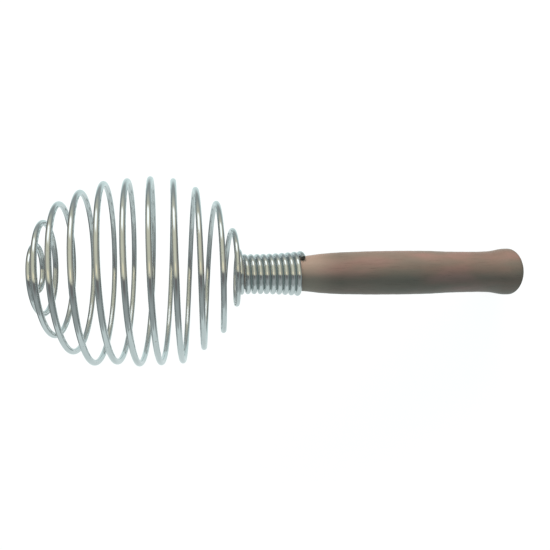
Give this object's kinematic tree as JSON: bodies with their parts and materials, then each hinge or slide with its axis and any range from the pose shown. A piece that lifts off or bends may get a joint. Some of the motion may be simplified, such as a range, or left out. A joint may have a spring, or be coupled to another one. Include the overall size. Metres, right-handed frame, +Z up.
{
  "type": "balloon whisk",
  "caption": "Balloon whisk: one coiled spring wire wound into an open ball and a tight neck on a turned wooden handle.",
  "frame": {"origin": "on the table under the middle of the whisk's bounding box, with the whisk lying at rest on its ball and its butt", "axes": "+X runs in plan from the ball to the butt of the handle, +Z up; the whisk's own axis drops 10.25 degrees towards the butt"},
  "size_m": [0.2926, 0.1082, 0.1093],
  "materials": {
    "wire": "bright plated spring wire",
    "wood": "dark stained, satin oiled"
  },
  "bodies": {
    "handle_and_neck": {"handle": "wood", "neck_coil": "wire"},
    "ball_wire_01": {"ball_wire_01": "wire"},
    "ball_wire_02": {"ball_wire_02": "wire"},
    "ball_wire_03": {"ball_wire_03": "wire"},
    "ball_wire_04": {"ball_wire_04": "wire"},
    "ball_wire_05": {"ball_wire_05": "wire"},
    "ball_wire_06": {"ball_wire_06": "wire"},
    "ball_wire_07": {"ball_wire_07": "wire"},
    "ball_wire_08": {"ball_wire_08": "wire"},
    "ball_wire_09": {"ball_wire_09": "wire"},
    "ball_wire_10": {"ball_wire_10": "wire"},
    "ball_wire_11": {"ball_wire_11": "wire"},
    "ball_wire_12": {"ball_wire_12": "wire"},
    "ball_wire_13": {"ball_wire_13": "wire"},
    "ball_wire_14": {"ball_wire_14": "wire"},
    "ball_wire_15": {"ball_wire_15": "wire"},
    "ball_wire_16": {"ball_wire_16": "wire"},
    "ball_wire_17": {"ball_wire_17": "wire"},
    "ball_tip": {"ball_tip_curl": "wire"}
  },
  "joints": [
    {"name": "sway_at_turn_11_5", "type": "hinge", "parent": "handle_and_neck", "child": "ball_wire_01", "pos_m": [-0.032, -0.00228, 0.04564], "axis": [0.1757, -0.1607, 0.9712], "range_deg": [-1.22, 1.22], "stiffness_Nm_per_rad": 8.244},
    {"name": "squeeze_at_turn_11", "type": "slide", "parent": "ball_wire_01", "child": "ball_wire_02", "axis": [0.984, 0, -0.178], "range_m": [-0.000192, 0.000638], "stiffness_N_per_m": 7136},
    {"name": "sway_at_turn_10_5", "type": "hinge", "parent": "ball_wire_02", "child": "ball_wire_03", "pos_m": [-0.03948, -0.00228, 0.04699], "axis": [0.1777, -0.0615, 0.9822], "range_deg": [-2.17, 2.17], "stiffness_Nm_per_rad": 4.313},
    {"name": "squeeze_at_turn_10", "type": "slide", "parent": "ball_wire_03", "child": "ball_wire_04", "axis": [0.984, 0, -0.178], "range_m": [-0.00063, 0.0021], "stiffness_N_per_m": 2164.7},
    {"name": "sway_at_turn_9_5", "type": "hinge", "parent": "ball_wire_04", "child": "ball_wire_05", "pos_m": [-0.05055, -0.00228, 0.04899], "axis": [0.1779, -0.028, 0.9836], "range_deg": [-2.53, 2.53], "stiffness_Nm_per_rad": 3.316},
    {"name": "squeeze_at_turn_9", "type": "slide", "parent": "ball_wire_05", "child": "ball_wire_06", "axis": [0.984, 0, -0.178], "range_m": [-0.00108, 0.0036], "stiffness_N_per_m": 1261.9},
    {"name": "ball_sway", "type": "hinge", "parent": "ball_wire_06", "child": "ball_wire_07", "pos_m": [-0.06248, -0.00228, 0.05115], "axis": [0.178, -0.013, 0.9839], "range_deg": [-2.5, 2.5], "stiffness_Nm_per_rad": 2.929},
    {"name": "squeeze_at_turn_8", "type": "slide", "parent": "ball_wire_07", "child": "ball_wire_08", "axis": [0.984, 0, -0.178], "range_m": [-0.00139, 0.00463], "stiffness_N_per_m": 981.5},
    {"name": "sway_at_turn_7_5", "type": "hinge", "parent": "ball_wire_08", "child": "ball_wire_09", "pos_m": [-0.07453, -0.00228, 0.05333], "axis": [0.178, -0.004, 0.984], "range_deg": [-2.25, 2.25], "stiffness_Nm_per_rad": 2.78},
    {"name": "ball_squeeze", "type": "slide", "parent": "ball_wire_09", "child": "ball_wire_10", "axis": [0.984, 0, -0.178], "range_m": [-0.0015, 0.005], "stiffness_N_per_m": 908.9},
    {"name": "sway_at_turn_6_5", "type": "hinge", "parent": "ball_wire_10", "child": "ball_wire_11", "pos_m": [-0.0866, -0.00228, 0.05552], "axis": [0.178, 0.0013, 0.984], "range_deg": [-1.87, 1.87], "stiffness_Nm_per_rad": 2.765},
    {"name": "squeeze_at_turn_6", "type": "slide", "parent": "ball_wire_11", "child": "ball_wire_12", "axis": [0.984, 0, -0.178], "range_m": [-0.00147, 0.0049], "stiffness_N_per_m": 928.4},
    {"name": "sway_at_turn_5_5", "type": "hinge", "parent": "ball_wire_12", "child": "ball_wire_13", "pos_m": [-0.09877, -0.00228, 0.05772], "axis": [0.178, 0.0055, 0.984], "range_deg": [-1.45, 1.45], "stiffness_Nm_per_rad": 2.817},
    {"name": "squeeze_at_turn_5", "type": "slide", "parent": "ball_wire_13", "child": "ball_wire_14", "axis": [0.984, 0, -0.178], "range_m": [-0.00132, 0.00441], "stiffness_N_per_m": 1031.3},
    {"name": "sway_at_turn_4_5", "type": "hinge", "parent": "ball_wire_14", "child": "ball_wire_15", "pos_m": [-0.11106, -0.00228, 0.05994], "axis": [0.178, 0.0129, 0.9839], "range_deg": [-1.01, 1.01], "stiffness_Nm_per_rad": 2.981},
    {"name": "squeeze_at_turn_4", "type": "slide", "parent": "ball_wire_15", "child": "ball_wire_16", "axis": [0.984, 0, -0.178], "range_m": [-0.00103, 0.00342], "stiffness_N_per_m": 1327.7},
    {"name": "sway_at_turn_3_5", "type": "hinge", "parent": "ball_wire_16", "child": "ball_wire_17", "pos_m": [-0.12289, -0.00228, 0.06208], "axis": [0.1779, 0.0252, 0.9837], "range_deg": [-0.58, 0.58], "stiffness_Nm_per_rad": 3.362},
    {"name": "squeeze_at_turn_3", "type": "slide", "parent": "ball_wire_17", "child": "ball_tip", "axis": [0.984, 0, -0.178], "range_m": [-0.00062, 0.00207], "stiffness_N_per_m": 2193.7}
  ],
  "couplings": [
    {"joint": "sway_at_turn_11_5", "follows": "ball_sway", "ratio": 0.4867},
    {"joint": "squeeze_at_turn_11", "follows": "ball_squeeze", "ratio": 0.1274},
    {"joint": "sway_at_turn_10_5", "follows": "ball_sway", "ratio": 0.8687},
    {"joint": "squeeze_at_turn_10", "follows": "ball_squeeze", "ratio": 0.4199},
    {"joint": "sway_at_turn_9_5", "follows": "ball_sway", "ratio": 1.0112},
    {"joint": "squeeze_at_turn_9", "follows": "ball_squeeze", "ratio": 0.7203},
    {"joint": "squeeze_at_turn_8", "follows": "ball_squeeze", "ratio": 0.926},
    {"joint": "sway_at_turn_7_5", "follows": "ball_sway", "ratio": 0.8994},
    {"joint": "sway_at_turn_6_5", "follows": "ball_sway", "ratio": 0.7491},
    {"joint": "squeeze_at_turn_6", "follows": "ball_squeeze", "ratio": 0.979},
    {"joint": "sway_at_turn_5_5", "follows": "ball_sway", "ratio": 0.5815},
    {"joint": "squeeze_at_turn_5", "follows": "ball_squeeze", "ratio": 0.8814},
    {"joint": "sway_at_turn_4_5", "follows": "ball_sway", "ratio": 0.4031},
    {"joint": "squeeze_at_turn_4", "follows": "ball_squeeze", "ratio": 0.6846},
    {"joint": "sway_at_turn_3_5", "follows": "ball_sway", "ratio": 0.2321},
    {"joint": "squeeze_at_turn_3", "follows": "ball_squeeze", "ratio": 0.4143}
  ]
}
